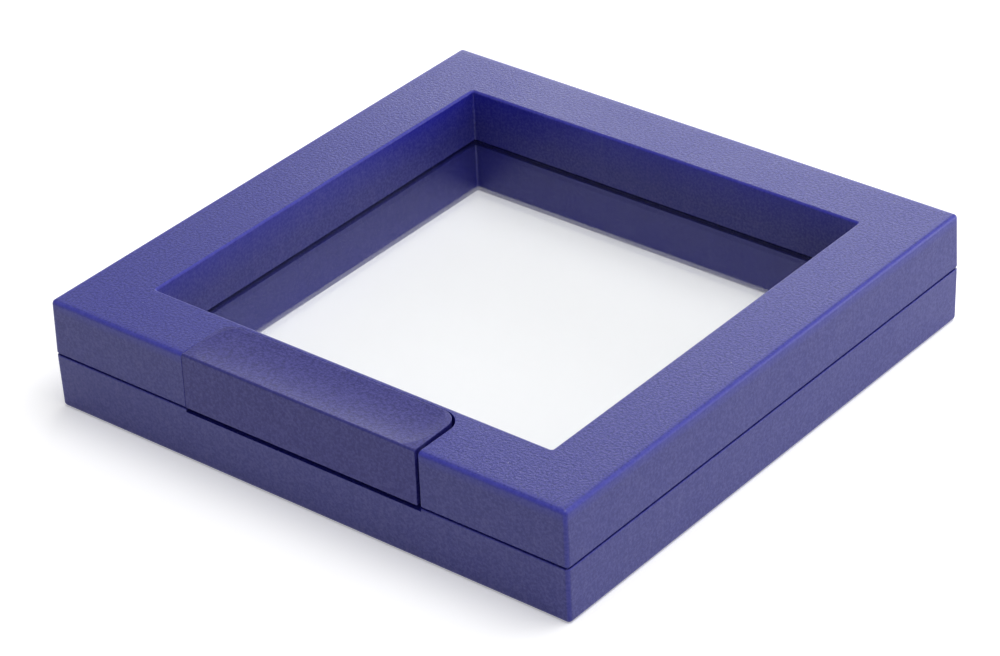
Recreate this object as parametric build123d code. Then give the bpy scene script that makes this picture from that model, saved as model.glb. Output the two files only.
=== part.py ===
from build123d import *
from math import radians, tan
import os

# Floating picture frame: a square hinged case whose two halves each stretch a clear film
# across the window. Millimetres. X runs along the latch side, +Y towards the hinge, +Z up.
# The origin is the centre of the square outline, on the face that the case rests on.

os.makedirs("parts", exist_ok=True)

# Case
case_side = 110.0        # side of the square outline, at the parting
half_height = 10.35      # height of one half at its outer wall
draft = 0.8              # degrees that the outer walls lean in from the parting
seam_gap = 0.4           # shadow gap between the halves
seam_depth = 0.45        # how far the shadow gap runs in before the halves meet
seam_edge_radius = 0.2   # outer edges of the shadow gap
wall = 2.0               # outer wall, at the parting
skin = 2.0               # top and bottom skin
edge_radius = 0.8        # upright corners and outer edges of the flat faces
root = 0.5               # how far an added feature runs into the wall that carries it

# Window
bar_width = 12.6         # bars beside the window, seen from above
window_shift = 0.25      # window's centre, towards the hinge
window_wall = 0.95       # wall round the window
window_corner_radius = 0.4
window_edge_radius = 0.5 # round the window in the top face
window_foot_radius = 0.15 # round it in the resting face
lower_rim_drop = 0.9     # lower window wall ends this far below the parting plane
upper_rim_drop = 0.45    # upper window wall ends this far above it

# Cross ribs in the hollow bars
rib_thickness = 1.0
rib_end_inset = 25.0     # outer ribs, from the case's corner
rib_middle_spacing = 20.0
front_rib_spacing = 36.0 # inner ribs of the front bar, beside the keeper tongue

# Films and the rings that carry them
film_thickness = 0.12
film_bond = 0.03         # layer of glue under a film
film_margin = 4.2        # film beyond the window's edge, bonded to its ring
ring_thickness = 1.75
ring_wall_gap = 1.5      # ring to the outer wall, room for the locating lip
ring_window_gap = 0.2    # ring to the window wall
ring_notch_gap = 0.2     # beside the latch the ring stays behind the shelf's front edge

# Staked posts that hold the rings
post_radius = 0.9
post_end_inset = 17.0    # outer posts, from the case's corner
post_clearance = 0.1
stake_radius = 1.5       # flattened head of the post
stake_height = 0.5
stake_clearance = 0.1

# Locating lip on the lower half
lip_thickness = 1.0
lip_clearance = 0.15
lip_rise = 1.0           # above the parting plane
lip_foot = 5.0           # lip's foot, above the resting face
lip_shoulder = 0.4       # where the lip leaves the wall, below the wall's top
side_lip_inset = 15.0    # side lips end this far from the case's corners
front_lip_inset = 9.0
front_lip_start = 5.0    # front lips start this far beyond the clip

# Hinge
knuckle_radius = 1.35
hinge_offset = 0.15      # axis beyond the back face
hinge_pin_radius = 0.55
hinge_running_gap = 0.03
hinge_press = 0.01       # interference in the lower half's knuckle
knuckle_clearance = 0.3
hinge_inset = 21.0       # hinge's middle, from the case's corner
lower_knuckle_length = 6.0
upper_knuckle_length = 4.7
hinge_pin_recess = 0.2   # pin's end, inside the knuckle's end

# Latch clip
clip_length = 49.75
clip_offset = 0.025      # clip's middle from the case's middle
clip_left_gap = 0.06     # the clip sits at the left end of its play
clip_right_gap = 0.75
clip_back_gap = 0.35
clip_leg = 1.8           # thickness of the front leg
clip_top = 1.8           # thickness of the top leg
clip_front_radius = 0.4
clip_corner_radius = 3.2
clip_back_rise = 0.3     # the back rim stands this far above the case's top
clip_edge_radius = 0.1
scoop_depth = 0.4        # below the line from its front border to its rim
scoop_border = 0.6       # thumb scoop begins this far behind the front face
scoop_rim = 0.25         # and ends this far before the back rim
scoop_end_inset = 0.3    # and this far before the clip's ends
scoop_runout = 3.5       # length over which it runs out towards each end
cheek_thickness = 2.2
cheek_gap = 1.4          # cheeks and ribs run down the leg to this far above the shelf
clip_rib_thickness = 1.2
clip_rib_spacing = 24.0
clip_foot_gap = 1.35     # ribs' feet above the shelf: they stop the clip's travel
clip_foot_length = 1.6
nail_recess = 0.55       # cut into the lower half below the clip

# Latch pivot
pivot_inset = 3.2        # axis, from the front face
pivot_drop = 2.0         # axis, below the top face
latch_pin_radius = 0.75
latch_running_gap = 0.04
latch_press = 0.01
latch_pin_reach = 1.9    # pin's length inside the clip's cheek
latch_lug_radius = 1.5
bay_wall = 2.0           # walls at the ends of the clip's bay
bay_edge_radius = 0.08   # edge of the bay, in the top face and down the front

# Hook on the clip and keeper tongue on the lower half
tongue_inset = 3.2
tongue_thickness = 1.2
tongue_width = 18.0
tongue_top = 3.1         # above the parting plane
barb_reach = 0.9
barb_bottom = 1.65       # above the parting plane
barb_land = 0.45
hook_width = 20.0
hook_reach = 1.1
hook_bottom = 0.3        # above the parting plane
hook_gap = 0.15          # between hook and barb
hook_chamfer = 0.5

# Shelf under the clip, and the latch springs on it
shelf_thickness = 1.2
shelf_inset = 5.0        # shelf's front edge, from the front face
stop_spacing = 42.0
stop_width = 2.0
stop_clearance = 0.05
spring_inset = 2.45      # spring's axis, from the clip's back edge
spring_spacing = 34.0
spring_radius = 1.4      # to the middle of the wire
wire_radius = 0.17
spring_turns = 5
spring_seat_gap = 0.03
spring_boss_radius = 0.9
spring_boss_height = 1.2

# Levels and edges that follow from the sizes above
case_half = case_side / 2
window_half = case_half - bar_width
parting = half_height + seam_gap / 2
case_height = 2 * half_height + seam_gap
front = -case_half
back = case_half
lean = half_height * tan(radians(draft))
bay_left = clip_offset - clip_length / 2 - clip_left_gap
bay_right = clip_offset + clip_length / 2 + clip_right_gap
bay_back = window_shift - window_half - window_wall
clip_left = clip_offset - clip_length / 2
clip_right = clip_offset + clip_length / 2
clip_back = bay_back - clip_back_gap
post_reach = case_half - (wall + ring_wall_gap + bar_width - film_margin) / 2
post_end = case_half - post_end_inset
rib_end = case_half - rib_end_inset
hinge_middles = (hinge_inset - case_half, case_half - hinge_inset)
pivot_y = front + pivot_inset
pivot_z = case_height - pivot_drop
upper_ring_back = parting + upper_rim_drop + ring_thickness
shelf_top = upper_ring_back + shelf_thickness
clip_under = case_height - clip_top
spring_y = clip_back - spring_inset
hinge_y = back + hinge_offset


def block(x0, x1, y0, y1, z0, z1):
    """A box between two opposite corners."""
    middle = Pos((x0 + x1) / 2, (y0 + y1) / 2, (z0 + z1) / 2)
    return middle * Box(x1 - x0, y1 - y0, z1 - z0)


def square(half_side, shift, z0, z1):
    """A square slab about the case's axis, or about the window's when shifted."""
    return block(-half_side, half_side, shift - half_side, shift + half_side, z0, z1)


def rod(x0, x1, y, z, radius):
    """A round bar along X."""
    return Pos((x0 + x1) / 2, y, z) * Rot(0, 90, 0) * Cylinder(radius, x1 - x0)


def stud(x, y, z0, z1, radius):
    """A round bar along Z."""
    return Pos(x, y, (z0 + z1) / 2) * Cylinder(radius, z1 - z0)


def along_x(points, x0, x1):
    """A prism along X from a closed outline of (y, z) points."""
    face = Plane.YZ * make_face(Polyline(*points, close=True))
    return Pos(x0, 0, 0) * extrude(face, x1 - x0)


def upside_down(piece):
    """The same form in the other half of the case."""
    return Pos(0, 0, case_height) * mirror(piece, about=Plane.XY)


def post_places():
    """Where the staked posts stand, as (x, y)."""
    spread = (-post_end, 0, post_end)
    places = [(along, -post_reach) for along in (-post_end, post_end)]
    places += [(along, post_reach) for along in spread]
    places += [(side * post_reach, along) for side in (-1, 1) for along in spread]
    return places


def outer_block():
    """The outside of one half: drafted walls, rounded corners and edges."""
    outline = Pos(0, 0, half_height) * Rectangle(case_side, case_side)
    body = extrude(outline, -half_height, taper=draft)
    rim = body.edges().group_by(Axis.Z)[-1]
    sharp = [edge for edge in body.edges() if edge not in rim]
    body = fillet(sharp, edge_radius)
    return fillet(body.edges().group_by(Axis.Z)[-1], seam_edge_radius)


def half_shell(rim_drop, rounding):
    """One hollow half, open side up, before its latch and hinge features."""
    rim = parting - rim_drop
    shell = outer_block()
    window = square(window_half, window_shift, 0, parting)
    window = fillet(window.edges().filter_by(Axis.Z), window_corner_radius)
    shell -= window
    face = shell.faces().sort_by(Axis.Z)[0]
    shell = fillet(face.inner_wires()[0].edges(), rounding)
    shell += square(case_half - seam_depth, 0, half_height, parting)
    hollow = square(case_half - wall, 0, skin, parting)
    hollow -= square(window_half + window_wall, window_shift, skin, rim)
    shell -= hollow
    shell -= window
    shell += cross_ribs(rim - ring_thickness)
    for x, y in post_places():
        shell += stud(x, y, skin, rim - stake_height, post_radius)
        shell += stud(x, y, rim - stake_height - stake_clearance, rim - stake_clearance, stake_radius)
    return shell


def cross_ribs(top):
    """Ribs across the hollow bars, up to the back of the film ring."""
    t = rib_thickness / 2
    middle = rib_middle_spacing / 2
    beside_tongue = front_rib_spacing / 2
    outer = case_half - wall
    inner = window_half + window_wall
    ribs = []
    for x in (-rib_end, -beside_tongue, beside_tongue, rib_end):
        ribs.append(block(x - t, x + t, -outer, window_shift - inner, skin, top))
    for along in (-rib_end, -middle, middle, rib_end):
        ribs.append(block(along - t, along + t, window_shift + inner, outer, skin, top))
        ribs.append(block(-outer, -inner, along - t, along + t, skin, top))
        ribs.append(block(inner, outer, along - t, along + t, skin, top))
    return ribs


def film_ring(rim_drop, notch_left, notch_right):
    """The ring that carries a film, face up, notched beside the latch."""
    face = parting - rim_drop
    ring = square(case_half - wall - ring_wall_gap, 0, face - ring_thickness, face)
    inside = window_half + window_wall + ring_window_gap
    ring -= square(inside, window_shift, face - ring_thickness, face)
    notch_back = front + shelf_inset + ring_notch_gap
    ring -= block(notch_left, notch_right, front, notch_back, 0, case_height)
    hole = post_radius + post_clearance
    counterbore = stake_radius + stake_clearance
    for x, y in post_places():
        ring -= stud(x, y, face - ring_thickness, face, hole)
        ring -= stud(x, y, face - stake_height - stake_clearance, face, counterbore)
    return ring


def film(rim_drop):
    """A clear film glued over its ring and over the window wall."""
    level = parting - rim_drop + film_bond
    return square(window_half + film_margin, window_shift, level, level + film_thickness)


def knuckle_spans(middle):
    """X spans of one hinge: the upper knuckles and the lower one between them."""
    lower = lower_knuckle_length / 2
    inner = lower + knuckle_clearance
    outer = inner + upper_knuckle_length
    uppers = [(middle - outer, middle - inner), (middle + inner, middle + outer)]
    return uppers, (middle - lower, middle + lower)


def barrel(span, radius):
    """A bar on the hinge's axis."""
    return rod(span[0], span[1], hinge_y, parting, radius)


def room(span):
    """The pocket that a knuckle needs in the other half's back wall."""
    wider = (span[0] - knuckle_clearance, span[1] + knuckle_clearance)
    return barrel(wider, knuckle_radius + knuckle_clearance)


def locating_lips():
    """Lips inside the lower half's wall that centre the upper half on it."""
    wall_face = case_half - wall
    outer = wall_face - lip_clearance
    inner = outer - lip_thickness
    shoulder = half_height - lip_shoulder
    rise = parting + lip_rise
    reach = case_half - side_lip_inset
    lips = []
    for side in (-1, 1):
        x0, x1 = sorted((side * inner, side * (wall_face + root)))
        lips.append(block(x0, x1, -reach, reach, lip_foot, shoulder))
        x0, x1 = sorted((side * inner, side * outer))
        lips.append(block(x0, x1, -reach, reach, lip_foot, rise))
        x0, x1 = sorted((side * (clip_length / 2 + front_lip_start), side * (case_half - front_lip_inset)))
        lips.append(block(x0, x1, -wall_face - root, -inner, lip_foot, shoulder))
        lips.append(block(x0, x1, -outer, -inner, lip_foot, rise))
    return lips


def keeper_tongue():
    """The springy tongue of the lower half that the clip's hook catches."""
    face = front + tongue_inset
    rear = face + tongue_thickness
    top = parting + tongue_top
    tip = face - barb_reach
    under = parting + barb_bottom
    outline = [
        (face, skin - root),
        (rear, skin - root),
        (rear, top),
        (face, top),
        (tip, under + barb_land),
        (tip, under),
        (face, under),
    ]
    return along_x(outline, -tongue_width / 2, tongue_width / 2)


def make_lower_frame():
    shell = half_shell(lower_rim_drop, window_foot_radius)
    shell += locating_lips()
    shell += keeper_tongue()
    shell -= block(bay_left, bay_right, front, front + wall, half_height - nail_recess, parting)
    for middle in hinge_middles:
        uppers, lower = knuckle_spans(middle)
        for span in uppers:
            shell -= room(span)
        shell += barrel(lower, knuckle_radius)
        shell -= barrel(lower, hinge_pin_radius - hinge_press)
    return shell


def latch_bay():
    """The room that the clip fills: through the front wall and the top skin."""
    depth = bay_back - front
    opening = block(bay_left, bay_right, front - depth, bay_back, 0, case_height + skin)
    back_left = opening.edges().filter_by(Axis.Z).sort_by(Axis.Y)[-2:].sort_by(Axis.X)[0]
    opening = fillet(back_left, clip_corner_radius + clip_left_gap)
    back_right = opening.edges().filter_by(Axis.Z).sort_by(Axis.X)[-2:].sort_by(Axis.Y)[-1]
    return fillet(back_right, clip_corner_radius + clip_right_gap)


def bay_supports():
    """End walls with the pivot holes, the shelf under the clip, its stops and spring bosses."""
    ends = [(bay_left - bay_wall, bay_left), (bay_right, bay_right + bay_wall)]
    low = upper_ring_back
    high = case_height - skin + root
    supports = [block(x0, x1, front + wall - root, bay_back, low, high) for x0, x1 in ends]
    supports.append(block(bay_left, bay_right, front + shelf_inset, bay_back, low, shelf_top))
    for side in (-1, 1):
        x0 = side * stop_spacing / 2 - stop_width / 2
        y0 = front + clip_leg + stop_clearance
        supports.append(block(x0, x0 + stop_width, y0, front + shelf_inset, low, shelf_top))
        x = side * spring_spacing / 2
        boss_top = shelf_top + spring_boss_height
        supports.append(stud(x, spring_y, shelf_top, boss_top, spring_boss_radius))
    return supports


def make_upper_frame():
    shell = upside_down(half_shell(upper_rim_drop, window_edge_radius))
    shell -= latch_bay()
    rim = shell.edges().group_by(Axis.Z)[-1].filter_by_position(Axis.X, bay_left, bay_right)
    shell = fillet(rim.filter_by_position(Axis.Y, front, bay_back), bay_edge_radius)
    shell += bay_supports()
    bore = latch_pin_radius - latch_press
    shell -= rod(bay_left - bay_wall, bay_right + bay_wall, pivot_y, pivot_z, bore)
    for middle in hinge_middles:
        uppers, lower = knuckle_spans(middle)
        shell -= room(lower)
        for span in uppers:
            shell += barrel(span, knuckle_radius)
            shell -= barrel(span, hinge_pin_radius + hinge_running_gap)
    return shell


def thumb_scoop():
    """The trough cut in the clip's top: an arc across, which runs out towards both ends."""
    near = Vector(0, front + scoop_border, case_height)
    far = Vector(0, clip_back - scoop_rim, case_height + clip_back_rise)
    across = far - near
    radius = across.length**2 / (8 * scoop_depth) + scoop_depth / 2
    up = Vector(0, -across.Z, across.Y).normalized()
    axis = near + across / 2 + up * (radius - scoop_depth)
    reach = clip_length / 2 - scoop_end_inset
    straight = reach - scoop_runout
    clear = radius - scoop_depth - clip_edge_radius
    outline = Wire([
        Line((-straight, radius), (straight, radius)),
        TangentArc((straight, radius), (reach, clear), tangent=(1, 0)),
        Line((reach, clear), (reach, 0)),
        Line((reach, 0), (-reach, 0)),
        Line((-reach, 0), (-reach, clear)),
        TangentArc((-straight, radius), (-reach, clear), tangent=(-1, 0)),
    ])
    return Pos(clip_offset, axis.Y, axis.Z) * revolve(make_face(outline), Axis.X)


def clip_shell():
    """The L-shaped clip: front leg, and the top leg with its thumb scoop."""
    bottom = half_height + seam_gap
    inner = front + clip_leg
    top_corner = (front + lean, case_height)
    edge = Polyline(
        (front, bottom),
        top_corner,
        (front + scoop_border, case_height),
        (clip_back, case_height + clip_back_rise),
        (clip_back, clip_under),
        (inner, clip_under),
        (inner, bottom),
        close=True,
    )
    outline = make_face(edge)
    outline = fillet(outline.vertices().sort_by_distance(top_corner)[0], clip_front_radius)
    profile = Plane.YZ * outline
    shell = Pos(clip_left, 0, 0) * extrude(profile, clip_length)
    plan = block(clip_left, clip_right, front - wall, clip_back, 0, case_height + skin)
    corners = plan.edges().filter_by(Axis.Z).sort_by(Axis.Y)[-2:]
    shell &= fillet(corners, clip_corner_radius)
    ends = shell.faces().filter_by(Axis.X)
    rims = [edge for face in ends for edge in face.edges() if edge.center().Z > clip_under
            or edge.center().Y < front + clip_leg / 2]
    return fillet(rims, clip_edge_radius) - thumb_scoop()


def clip_inside():
    """Cheeks with the pivot lugs, stop ribs, the hook and the spring bosses."""
    inner = front + clip_leg - root
    level = clip_under + root
    low = shelf_top + cheek_gap
    foot = shelf_top + clip_foot_gap
    foot_front = spring_y - clip_foot_length / 2
    foot_back = spring_y + clip_foot_length / 2
    cheek_back = clip_back - clip_corner_radius
    cheek = [(inner, level), (cheek_back, level), (cheek_back, clip_under), (pivot_y, low), (inner, low)]
    rib = [(inner, level), (foot_back, level), (foot_back, foot), (foot_front, foot), (inner, low)]
    pieces = []
    for x0 in (clip_left, clip_right - cheek_thickness):
        pieces.append(along_x(cheek, x0, x0 + cheek_thickness))
        pieces.append(rod(x0, x0 + cheek_thickness, pivot_y, pivot_z, latch_lug_radius))
    for side in (-1, 1):
        x0 = side * clip_rib_spacing / 2 - clip_rib_thickness / 2
        pieces.append(along_x(rib, x0, x0 + clip_rib_thickness))
        x = side * spring_spacing / 2
        boss_end = clip_under - spring_boss_height
        pieces.append(stud(x, spring_y, boss_end, clip_under + root, spring_boss_radius))
    pieces.append(clip_hook())
    return pieces


def clip_hook():
    """The ridge low on the clip's inner face that catches under the tongue's barb."""
    start = front + clip_leg - root
    tip = front + clip_leg + hook_reach
    bottom = parting + hook_bottom
    top = parting + barb_bottom - hook_gap
    outline = [
        (start, bottom),
        (tip - hook_chamfer, bottom),
        (tip, bottom + hook_chamfer),
        (tip, top),
        (start, top),
    ]
    return along_x(outline, -hook_width / 2, hook_width / 2)


def make_latch_clip():
    clip = clip_shell()
    clip += clip_inside()
    bore = latch_pin_radius + latch_running_gap
    for x0 in (clip_left, clip_right - cheek_thickness):
        clip -= rod(x0, x0 + cheek_thickness, pivot_y, pivot_z, bore)
    return clip


def make_latch_pins():
    """Two stub pins, pressed into the bay's end walls."""
    spans = [
        (bay_left - bay_wall, clip_left + latch_pin_reach),
        (clip_right - latch_pin_reach, bay_right + bay_wall),
    ]
    return Compound([rod(x0, x1, pivot_y, pivot_z, latch_pin_radius) for x0, x1 in spans])


def make_hinge_pin(middle):
    uppers, _ = knuckle_spans(middle)
    start = uppers[0][0] + hinge_pin_recess
    end = uppers[1][1] - hinge_pin_recess
    return barrel((start, end), hinge_pin_radius)


def coil(x):
    """A compression spring between the shelf and the clip."""
    bottom = shelf_top + wire_radius + spring_seat_gap
    height = clip_under - wire_radius - spring_seat_gap - bottom
    helix = Helix(pitch=height / spring_turns, height=height, radius=spring_radius)
    start = helix @ 0
    section = Plane(origin=start, z_dir=helix % 0) * Circle(wire_radius)
    return Pos(x, spring_y, bottom) * sweep(section, path=helix)


def make_latch_springs():
    return Compound([coil(side * spring_spacing / 2) for side in (-1, 1)])


lower_ring = film_ring(lower_rim_drop, -hook_width / 2, hook_width / 2)
upper_ring = film_ring(upper_rim_drop, bay_left - bay_wall, bay_right + bay_wall)

pieces = {
    "lower_frame": make_lower_frame(),
    "upper_frame": make_upper_frame(),
    "lower_film_ring": lower_ring,
    "upper_film_ring": upside_down(upper_ring),
    "lower_film": film(lower_rim_drop),
    "upper_film": upside_down(film(upper_rim_drop)),
    "latch_clip": make_latch_clip(),
    "latch_pins": make_latch_pins(),
    "latch_springs": make_latch_springs(),
    "hinge_pin_left": make_hinge_pin(hinge_middles[0]),
    "hinge_pin_right": make_hinge_pin(hinge_middles[1]),
}

for name, shape in pieces.items():
    export_step(shape, f"parts/{name}.step")
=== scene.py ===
import math

import bmesh
import bpy
from mathutils import Matrix, Vector


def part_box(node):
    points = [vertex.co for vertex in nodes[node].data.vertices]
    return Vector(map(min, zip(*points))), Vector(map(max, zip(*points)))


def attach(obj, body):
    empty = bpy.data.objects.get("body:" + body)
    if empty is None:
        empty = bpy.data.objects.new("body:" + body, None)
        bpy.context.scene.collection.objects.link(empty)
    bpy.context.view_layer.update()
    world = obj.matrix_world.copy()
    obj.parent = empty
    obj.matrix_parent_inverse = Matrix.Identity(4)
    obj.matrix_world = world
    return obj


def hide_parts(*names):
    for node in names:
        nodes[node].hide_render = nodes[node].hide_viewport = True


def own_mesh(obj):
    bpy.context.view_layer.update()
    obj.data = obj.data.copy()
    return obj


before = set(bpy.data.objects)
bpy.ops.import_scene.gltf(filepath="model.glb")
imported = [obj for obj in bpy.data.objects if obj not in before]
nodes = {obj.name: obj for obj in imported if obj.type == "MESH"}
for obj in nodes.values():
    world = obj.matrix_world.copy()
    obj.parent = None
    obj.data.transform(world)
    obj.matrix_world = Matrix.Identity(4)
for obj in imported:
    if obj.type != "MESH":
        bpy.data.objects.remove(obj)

# A floating picture frame: a hinged square case of blue plastic whose two halves each
# stretch a clear film across the window. Metres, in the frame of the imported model, but
# the sizes of a material's pattern are in millimetres.

bpy.context.view_layer.update()


# Case halves
# Two shells moulded from solid blue plastic. An eggshell covers their flat faces but stops
# short of the outer edges, and the walls have a finer grain and are painted a greyer blue than
# the flats, standing in for how the light falls on them. The rounded edges are smooth and
# painted a purer blue, partly for their smooth finish and partly as a painted highlight. A
# painted highlight also runs along the top of every wall, and painted light through the
# plastic blues the window's walls.

case_blue = (0.007, 0.008, 0.225)
# The walls are painted a greyer blue than the flats, standing in for how the light falls on them
wall_lighting_blue = (0.023, 0.023, 0.204)
# A purer blue for the smooth zones: partly their smooth finish, partly a painted highlight
edge_highlight_blue = (0.024, 0.026, 0.330)
# A brighter blue for painted light through the plastic on the window's walls
painted_window_light_blue = (0.010, 0.010, 0.340)
case_blues = (case_blue, wall_lighting_blue, edge_highlight_blue)
# Pale colour of a painted sheen on the grain's crests, which also draws the flow lines
painted_sheen_colour = (0.16, 0.16, 0.42)
speck_colour = (0.45, 0.46, 0.55)
plastic_ior = 1.44
case_roughness = 0.40
case_eggshell_depth = 0.00004
case_grain_depth = 0.000024

# The case's side and top, and where its surface changes, in millimetres in or down from them
case_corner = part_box("upper_frame")[1]
case_reach = 1000 * case_corner[0]
case_top = 1000 * case_corner[2]
eggshell_start = (0.7, 1.7)
# The flats' smooth border takes part of the painted highlight's purer blue
border_share = 0.55
# Painted highlight: each wall is a purer blue for a few millimetres under the top face
brim_fade = (2.2, 0.7)
brim_share = 0.7
# Painted highlight on rounded edges near the top face and near the outline
rim_fade = (4.0, 2.0)
corner_fade = (3.0, 2.0)
corner_share = 0.55
# Painted light: the window's walls turn a brighter blue towards the top
window_start = (6.0, 8.0)
window_fade = (7.0, 1.0)
window_shares = (0.1, 0.85)

# How far a face looks up, and how squarely it looks along any axis, where flats and edges begin
flat_turn = (0.85, 0.99)
edge_turn = (0.99, 0.90)

# The plastic's grain: its sizes, the part of the noise that shows, and how strongly. The
# grain's hollows get painted shade and its crests a painted sheen.
pit_size = 0.48
grain_size = 0.2
cloud_size = 14.0
streak_size = 0.9
streak_stretch = 0.07
middle_noise = (0.3, 0.7)
hollow_noise = (0.54, 0.34)
painted_sheen_noise = (0.42, 0.72)
streak_noise = (0.45, 0.75)
hollow_shade = 0.5
hollow_shares = (0.22, 0.7)
painted_sheen_shares = (0.28, 0.26)
smooth_painted_sheen = 0.4
streak_share = 0.06
cloud_roughness = 0.02
smooth_polish = 0.05

# Dust: one small round speck in some cells of a loose grid
speck_spacing = 2.3
speck_radius = 0.11
speck_share = 0.10
speck_cover = 0.5
speck_height = 0.00003


def new_material(name):
    """An empty node material with its surface shader."""
    material = bpy.data.materials.new(name)
    material.use_nodes = True
    tree = material.node_tree
    tree.nodes.clear()
    output = tree.nodes.new("ShaderNodeOutputMaterial")
    shader = tree.nodes.new("ShaderNodeBsdfPrincipled")
    tree.links.new(shader.outputs["BSDF"], output.inputs["Surface"])
    return material, tree, shader


def scaled(tree, vector, scale):
    """A vector with each of its three parts scaled."""
    node = tree.nodes.new("ShaderNodeMapping")
    node.inputs["Scale"].default_value = scale
    tree.links.new(vector, node.inputs["Vector"])
    return node.outputs["Vector"]


def place(tree):
    """Object coordinates, in millimetres."""
    where = tree.nodes.new("ShaderNodeTexCoord")
    return scaled(tree, where.outputs["Object"], (1000, 1000, 1000))


def noise(tree, vector, size, detail=2.0, rough=0.5):
    """Noise whose main grain is size millimetres across."""
    grain = tree.nodes.new("ShaderNodeTexNoise")
    grain.inputs["Scale"].default_value = 1 / size
    grain.inputs["Detail"].default_value = detail
    grain.inputs["Roughness"].default_value = rough
    tree.links.new(vector, grain.inputs["Vector"])
    return grain.outputs["Fac"]


def spread(tree, value, low, high, to_low=0.0, to_high=1.0):
    """The value from low to high, as a number from to_low to to_high."""
    node = tree.nodes.new("ShaderNodeMapRange")
    node.inputs["From Min"].default_value = low
    node.inputs["From Max"].default_value = high
    node.inputs["To Min"].default_value = to_low
    node.inputs["To Max"].default_value = to_high
    tree.links.new(value, node.inputs["Value"])
    return node.outputs["Result"]


def maths(tree, kind, a, b=0.0):
    """Two numbers or sockets combined."""
    node = tree.nodes.new("ShaderNodeMath")
    node.operation = kind
    for socket, value in zip(node.inputs, (a, b)):
        if isinstance(value, (int, float)):
            socket.default_value = value
        else:
            tree.links.new(value, socket)
    return node.outputs["Value"]


def times(tree, a, b):
    """The product of two numbers or sockets."""
    return maths(tree, "MULTIPLY", a, b)


def largest(tree, first, *others):
    """The largest of several sockets."""
    for other in others:
        first = maths(tree, "MAXIMUM", first, other)
    return first


def mix_colour(tree, share, a, b):
    """Colour a, turning to b as share goes from 0 to 1."""
    node = tree.nodes.new("ShaderNodeMix")
    node.data_type = "RGBA"
    for socket, value in ((node.inputs["A"], a), (node.inputs["B"], b)):
        if isinstance(value, tuple):
            socket.default_value = (*value, 1)
        else:
            tree.links.new(value, socket)
    tree.links.new(share, node.inputs["Factor"])
    return node.outputs["Result"]


def axes(tree, vector):
    """The sizes of a vector's three parts, without their signs."""
    parts = tree.nodes.new("ShaderNodeSeparateXYZ")
    tree.links.new(vector, parts.inputs["Vector"])
    return [maths(tree, "ABSOLUTE", parts.outputs[axis]) for axis in "XYZ"]


def facing(tree):
    """How far a face looks straight up or down, and how far it lies on a rounded edge."""
    where = tree.nodes.new("ShaderNodeTexCoord")
    x, y, z = axes(tree, where.outputs["Normal"])
    squarest = largest(tree, x, y, z)
    return spread(tree, z, *flat_turn), spread(tree, squarest, *edge_turn)


def from_outside(tree, vector):
    """Millimetres in from the square outline of the case."""
    x, y, _ = axes(tree, vector)
    return maths(tree, "SUBTRACT", case_reach, largest(tree, x, y))


def from_top(tree, vector):
    """Millimetres down from the case's top face."""
    parts = tree.nodes.new("ShaderNodeSeparateXYZ")
    tree.links.new(vector, parts.inputs["Vector"])
    return maths(tree, "SUBTRACT", case_top, parts.outputs["Z"])


def specks(tree, vector):
    """1 on a speck of dust and 0 elsewhere, with a soft rim."""
    cells = tree.nodes.new("ShaderNodeTexVoronoi")
    cells.inputs["Scale"].default_value = 1 / speck_spacing
    tree.links.new(vector, cells.inputs["Vector"])
    rim = speck_radius / speck_spacing
    near = spread(tree, cells.outputs["Distance"], rim, rim / 2)
    parts = tree.nodes.new("ShaderNodeSeparateColor")
    tree.links.new(cells.outputs["Color"], parts.inputs["Color"])
    chosen = maths(tree, "LESS_THAN", parts.outputs["Red"], speck_share)
    return times(tree, near, chosen)


def bump(tree, shader, layers):
    """Heights with their depths in metres, laid over each other."""
    under = None
    for height, depth in layers:
        node = tree.nodes.new("ShaderNodeBump")
        node.inputs["Distance"].default_value = depth
        tree.links.new(height, node.inputs["Height"])
        if under is not None:
            tree.links.new(under, node.inputs["Normal"])
        under = node.outputs["Normal"]
    tree.links.new(under, shader.inputs["Normal"])


def streaks(tree, vector):
    """Faint upright flow lines, as on a moulding's walls."""
    upright = scaled(tree, vector, (1.0, 1.0, streak_stretch))
    lines = noise(tree, upright, streak_size, detail=3.0, rough=0.6)
    return spread(tree, lines, *streak_noise, 0.0, streak_share)


def bare_zones(tree, vector, up, edge):
    """Eggshell flats, smooth zones with painted highlight, and painted light on the window's walls.
    """
    inset = from_outside(tree, vector)
    down = from_top(tree, vector)
    wall = maths(tree, "SUBTRACT", 1.0, up)
    flat = times(tree, up, spread(tree, inset, *eggshell_start))
    border = times(tree, maths(tree, "SUBTRACT", up, flat), border_share)
    wall_top_highlight = times(tree, wall, spread(tree, down, *brim_fade, 0.0, brim_share))
    rim = times(tree, edge, spread(tree, down, *rim_fade))
    outer_edge_highlight = times(tree, edge, spread(tree, inset, *corner_fade, 0.0, corner_share))
    smooth_and_highlit = largest(tree, rim, outer_edge_highlight, border, wall_top_highlight)
    window = times(tree, wall, spread(tree, inset, *window_start))
    painted_window_light = times(tree, window, spread(tree, down, *window_fade, *window_shares))
    return flat, smooth_and_highlit, painted_window_light


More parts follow.
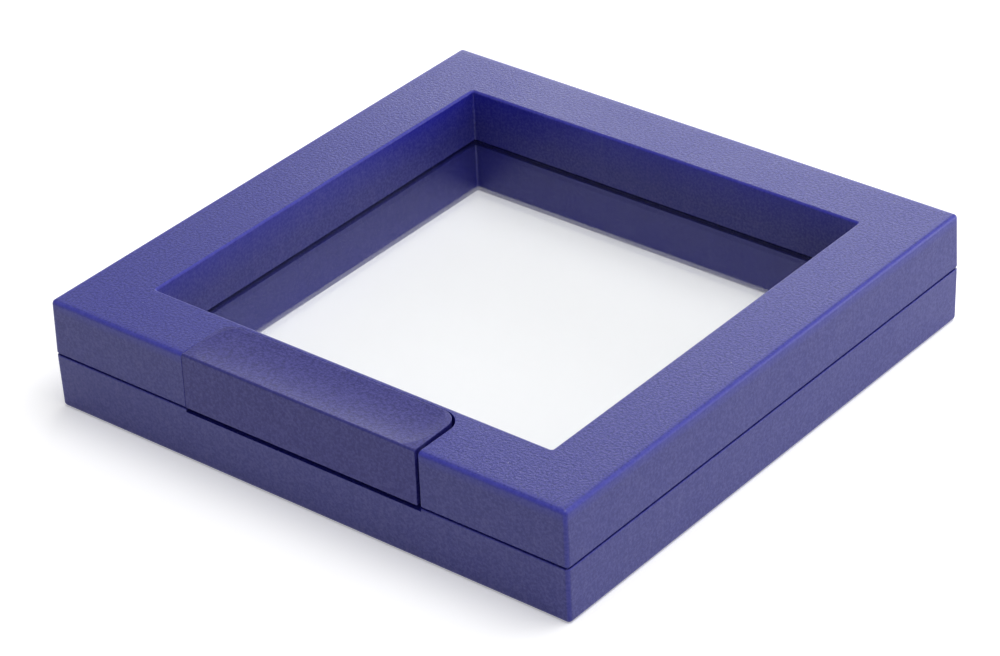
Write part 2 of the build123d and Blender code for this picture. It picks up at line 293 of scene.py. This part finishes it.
def moulded_plastic(name, blues, eggshell_depth, grain_depth, roughness, bars=False):
    """Plastic with eggshell flats, finer-grained walls, smooth edges, and painted light and shade.
    """
    material, tree, shader = new_material(name)
    flat_blue, side_lighting_blue, smooth_highlight_blue = blues
    vector = place(tree)
    up, edge = facing(tree)
    flat, smooth_and_highlit, painted_window_light = bare_zones(tree, vector, up, edge) if bars else (up, edge, None)
    pits = noise(tree, vector, pit_size, detail=3.0, rough=0.65)

    # The blue, a purer blue with painted highlight on the smooth zones, with painted shade in
    # the hollows of the grain and a painted sheen on its crests
    faces = mix_colour(tree, up, side_lighting_blue, flat_blue)
    blue = mix_colour(tree, smooth_and_highlit, faces, smooth_highlight_blue)
    if painted_window_light is not None:
        blue = mix_colour(tree, painted_window_light, blue, painted_window_light_blue)
    hollow_painted_shade = times(tree, spread(tree, pits, *hollow_noise), spread(tree, up, 0, 1, *hollow_shares))
    shaded = mix_colour(tree, hollow_painted_shade, blue, tuple(hollow_shade * c for c in flat_blue))
    # Painted sheen on the grain's crests, less on the smooth zones, with the flow lines in its
    # colour
    edge_painted_sheen = spread(tree, smooth_and_highlit, 0, 1, 1.0, smooth_painted_sheen)
    painted_sheen_share = times(tree, spread(tree, up, 0, 1, *painted_sheen_shares), edge_painted_sheen)
    painted_sheen = times(tree, spread(tree, pits, *painted_sheen_noise), painted_sheen_share)
    sheen_and_flow_lines = maths(tree, "ADD", painted_sheen, streaks(tree, vector))
    with_sheen_and_flow_lines = mix_colour(tree, sheen_and_flow_lines, shaded, painted_sheen_colour)
    dust = specks(tree, vector)
    dusty = mix_colour(tree, times(tree, dust, speck_cover), with_sheen_and_flow_lines, speck_colour)
    tree.links.new(dusty, shader.inputs["Base Color"])

    # The gloss, a little uneven and higher on smooth edges
    cloud = noise(tree, vector, cloud_size)
    dullest = roughness + cloud_roughness
    uneven = spread(tree, cloud, *middle_noise, roughness - cloud_roughness, dullest)
    polished = maths(tree, "SUBTRACT", uneven, times(tree, smooth_and_highlit, smooth_polish))
    tree.links.new(polished, shader.inputs["Roughness"])
    shader.inputs["IOR"].default_value = plastic_ior

    # The relief
    grain = noise(tree, vector, grain_size)
    eggshell = times(tree, spread(tree, pits, *middle_noise), flat)
    bump(tree, shader, [(grain, grain_depth), (eggshell, eggshell_depth), (dust, speck_height)])
    return material


case_plastic = moulded_plastic(
    "case_plastic", case_blues, case_eggshell_depth, case_grain_depth, case_roughness, bars=True)
for name in ("lower_frame", "upper_frame"):
    nodes[name].material_slots[0].material = case_plastic


# Latch clip
# One moulding of the same blue, a little redder, from a finer cavity: satin faces
# with a fine grain, and a thumb scoop across its top. Its rounded edges are painted a
# dark navy, a painted shade.

clip_blue = (0.010, 0.007, 0.170)
# Painted shade: the clip's rounded edges are a dark navy
clip_edge_shade_blue = (0.004, 0.004, 0.150)
clip_blues = (clip_blue, clip_blue, clip_edge_shade_blue)
clip_roughness = 0.43
clip_eggshell_depth = 0.000025
clip_grain_depth = 0.000020

clip_plastic = moulded_plastic(
    "clip_plastic", clip_blues, clip_eggshell_depth, clip_grain_depth, clip_roughness)
nodes["latch_clip"].material_slots[0].material = clip_plastic


# Film rings
# Flat rings moulded of the same blue, one inside each half, that carry the films. Posts
# of the half pass through them and are staked over them.

ring_roughness = 0.45
ring_eggshell_depth = 0.000025
ring_grain_depth = 0.000010

# The rings take the case's painted highlight, painted shade and painted sheen
ring_plastic = moulded_plastic(
    "ring_plastic", case_blues, ring_eggshell_depth, ring_grain_depth, ring_roughness)
for name in ("lower_film_ring", "upper_film_ring"):
    nodes[name].material_slots[0].material = ring_plastic


# Films
# Clear elastic film, stretched and bonded to its ring. It mirrors a little of the room
# and lets light through to what lies below.

film_clear = (0.956, 0.959, 0.960)
film_passes = (0.965, 0.968, 0.97)
film_ior = 1.46
film_roughness = (0.02, 0.06)
smear_size = 9.0
smear_noise = (0.35, 0.75)
ripple_size = 35.0
ripple_height = 0.00003


def clear_film():
    """Thin clear film, with faint smears, that doesn't stop light."""
    material, tree, shader = new_material("clear_film")
    output = tree.nodes["Material Output"]
    vector = place(tree)
    shader.inputs["Base Color"].default_value = (*film_clear, 1)
    shader.inputs["Transmission Weight"].default_value = 1.0
    shader.inputs["IOR"].default_value = film_ior
    smears = noise(tree, vector, smear_size, detail=3.0, rough=0.6)
    tree.links.new(spread(tree, smears, *smear_noise, *film_roughness), shader.inputs["Roughness"])
    ripple = noise(tree, vector, ripple_size, detail=1.0, rough=0.4)
    bump(tree, shader, [(ripple, ripple_height)])

    through = tree.nodes.new("ShaderNodeBsdfTransparent")
    through.inputs["Color"].default_value = (*film_passes, 1)
    rays = tree.nodes.new("ShaderNodeLightPath")
    lighting = largest(tree, rays.outputs["Is Shadow Ray"], rays.outputs["Is Diffuse Ray"])
    either = tree.nodes.new("ShaderNodeMixShader")
    tree.links.new(lighting, either.inputs["Fac"])
    tree.links.new(shader.outputs["BSDF"], either.inputs[1])
    tree.links.new(through.outputs["BSDF"], either.inputs[2])
    tree.links.new(either.outputs["Shader"], output.inputs["Surface"])
    return material


film = clear_film()
for name in ("lower_film", "upper_film"):
    nodes[name].material_slots[0].material = film


# Pins
# Hinge pins and latch pins, cut from bright drawn steel wire and pressed into the plastic.
# Drawing leaves fine lines along the wire.

steel_dark = (0.52, 0.52, 0.53)
steel_bright = (0.62, 0.62, 0.62)
steel_roughness = (0.24, 0.38)
tarnish_size = 2.5
draw_line_size = 0.06
draw_line_stretch = 0.08
draw_line_depth = 0.000004


def drawn_steel():
    """Bright steel with fine lines along X, the way the pins lie."""
    material, tree, shader = new_material("drawn_steel")
    vector = place(tree)
    tarnish = noise(tree, vector, tarnish_size)
    tree.links.new(mix_colour(tree, tarnish, steel_dark, steel_bright), shader.inputs["Base Color"])
    shader.inputs["Metallic"].default_value = 1.0
    along = scaled(tree, vector, (draw_line_stretch, 1.0, 1.0))
    lines = noise(tree, along, draw_line_size, rough=0.6)
    tree.links.new(spread(tree, lines, *middle_noise, *steel_roughness), shader.inputs["Roughness"])
    bump(tree, shader, [(lines, draw_line_depth)])
    return material


steel = drawn_steel()
for name in ("latch_pins", "hinge_pin_left", "hinge_pin_right"):
    nodes[name].material_slots[0].material = steel


# Latch springs
# Two coils of thinner steel wire under the clip. They stand on the lid's shelf and ride
# with the lid; the real coils shorten when the clip is pressed, these keep their resting length.

merge_reach = 0.000001


def closed_copy(node):
    """A node's mesh with its triangles joined into one smooth skin."""
    mesh = node.data.copy()
    skin = bmesh.new()
    skin.from_mesh(mesh)
    bmesh.ops.remove_doubles(skin, verts=skin.verts, dist=merge_reach)
    skin.to_mesh(mesh)
    skin.free()
    mesh.attributes.remove(mesh.attributes["custom_normal"])
    return mesh


coils = bpy.data.objects.new("latch_coils", closed_copy(nodes["latch_springs"]))
bpy.context.scene.collection.objects.link(coils)
coils.material_slots[0].material = steel
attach(coils, "lid")
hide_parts("latch_springs")
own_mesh(coils)


# Floor and background
# A plain white floor that runs past the view. The camera, and what mirrors it or shines
# through to it, sees floor and background as white, with the object's shadow.

floor_white = (0.86, 0.86, 0.865)
floor_patch_white = tuple(1.03 * c for c in floor_white)
floor_patch_size = 40.0
floor_roughness = 0.7
floor_half = 1.5
floor_lift = 0.30
lift_grows = (300, 1000)
room_light = 0.28


def seen_directly(tree):
    """1 for the camera and for what mirrors or shows through, 0 for other light."""
    rays = tree.nodes.new("ShaderNodeLightPath")
    kinds = ("Is Camera Ray", "Is Glossy Ray", "Is Transmission Ray")
    return largest(tree, *[rays.outputs[kind] for kind in kinds])


def floor_glow(tree, where):
    """Light added where the floor is seen, more of it far off, so that it ends in white."""
    away = tree.nodes.new("ShaderNodeVectorMath")
    away.operation = "LENGTH"
    tree.links.new(where, away.inputs[0])
    lift = spread(tree, away.outputs["Value"], *lift_grows, floor_lift, 1.0)
    return times(tree, seen_directly(tree), lift)


def white_floor():
    """One flat square under the case."""
    mesh = bpy.data.meshes.new("floor")
    quarters = ((-1, -1), (1, -1), (1, 1), (-1, 1))
    corners = [(x * floor_half, y * floor_half, 0) for x, y in quarters]
    mesh.from_pydata(corners, [], [(0, 1, 2, 3)])
    floor = bpy.data.objects.new("floor", mesh)
    bpy.context.scene.collection.objects.link(floor)
    material, tree, shader = new_material("floor_white")
    where = place(tree)
    patches = noise(tree, where, floor_patch_size)
    colour = mix_colour(tree, patches, floor_white, floor_patch_white)
    tree.links.new(colour, shader.inputs["Base Color"])
    shader.inputs["Roughness"].default_value = floor_roughness
    shader.inputs["Emission Color"].default_value = (1, 1, 1, 1)
    tree.links.new(floor_glow(tree, where), shader.inputs["Emission Strength"])
    mesh.materials.append(material)


def studio_world():
    """A soft room: dim as a light, white where it is seen."""
    world = bpy.data.worlds.new("studio")
    world.use_nodes = True
    tree = world.node_tree
    tree.nodes.clear()
    output = tree.nodes.new("ShaderNodeOutputWorld")
    room = tree.nodes.new("ShaderNodeBackground")
    room.inputs["Color"].default_value = (1, 1, 1, 1)
    strength = spread(tree, seen_directly(tree), 0, 1, room_light, 1.0)
    tree.links.new(strength, room.inputs["Strength"])
    tree.links.new(room.outputs["Background"], output.inputs["Surface"])
    bpy.context.scene.world = world


white_floor()
studio_world()


# Lamps
# A large soft box overhead and two lit cards close to the case: one behind it, which
# skims the top face, and one on its right. The cards don't light the films.

over_box_stand = (0.27, 0.16, 1.15)
over_box_aim = (0.0, 0.0, 0.0)
over_box_size = (0.9, 0.9)
over_box_radiance = 4.3
back_card_stand = (-0.124, 0.288, 0.10)
back_card_aim = (0.0, 0.0, 0.10)
back_card_size = (0.26, 0.19)
back_card_radiance = 2.6
right_card_stand = (0.25, 0.28, 0.09)
right_card_aim = (0.055, 0.03, 0.05)
right_card_size = (0.22, 0.17)
right_card_radiance = 3.0


def soft_box(name, stand, aim, size, radiance):
    """A rectangular area lamp at its stand, turned to a point, of an even brightness."""
    wide, high = size
    lamp = bpy.data.lights.new(name, "AREA")
    lamp.shape = "RECTANGLE"
    lamp.size = wide
    lamp.size_y = high
    lamp.energy = radiance * math.pi * wide * high
    box = bpy.data.objects.new(name, lamp)
    bpy.context.scene.collection.objects.link(box)
    box.location = stand
    box.rotation_euler = (Vector(stand) - Vector(aim)).to_track_quat("Z", "Y").to_euler()
    box.visible_camera = False
    return box


soft_box("over_box", over_box_stand, over_box_aim, over_box_size, over_box_radiance)
back_card = soft_box(
    "back_card", back_card_stand, back_card_aim, back_card_size, back_card_radiance)
right_card = soft_box(
    "right_card", right_card_stand, right_card_aim, right_card_size, right_card_radiance)

unlit = bpy.data.collections.new("films_without_cards")
for name in ("lower_film", "upper_film"):
    unlit.objects.link(nodes[name])
for entry in unlit.collection_objects:
    entry.light_linking.link_state = "EXCLUDE"
for card in (back_card, right_card):
    card.light_linking.receiver_collection = unlit


# Camera
# It stands where the photograph was taken from and has its direction, roll and lens, as
# worked out from the straight edges of the case in the photograph.

camera_place = Vector((0.35366, -0.42051, 0.34710))
camera_looks = Vector((-0.54967, 0.64866, -0.52640))
camera_roll = math.radians(3.007)
camera_lens = 135.65
camera_sensor = 36

camera = bpy.data.cameras.new("camera")
camera.lens = camera_lens
camera.sensor_width = camera_sensor
view = bpy.data.objects.new("camera", camera)
bpy.context.scene.collection.objects.link(view)
upright = camera_looks.to_track_quat("-Z", "Y").to_matrix()
view.location = camera_place
view.rotation_euler = (upright @ Matrix.Rotation(-camera_roll, 3, "Z")).to_euler()
bpy.context.scene.camera = view

bpy.context.scene.view_settings.view_transform = "Standard"
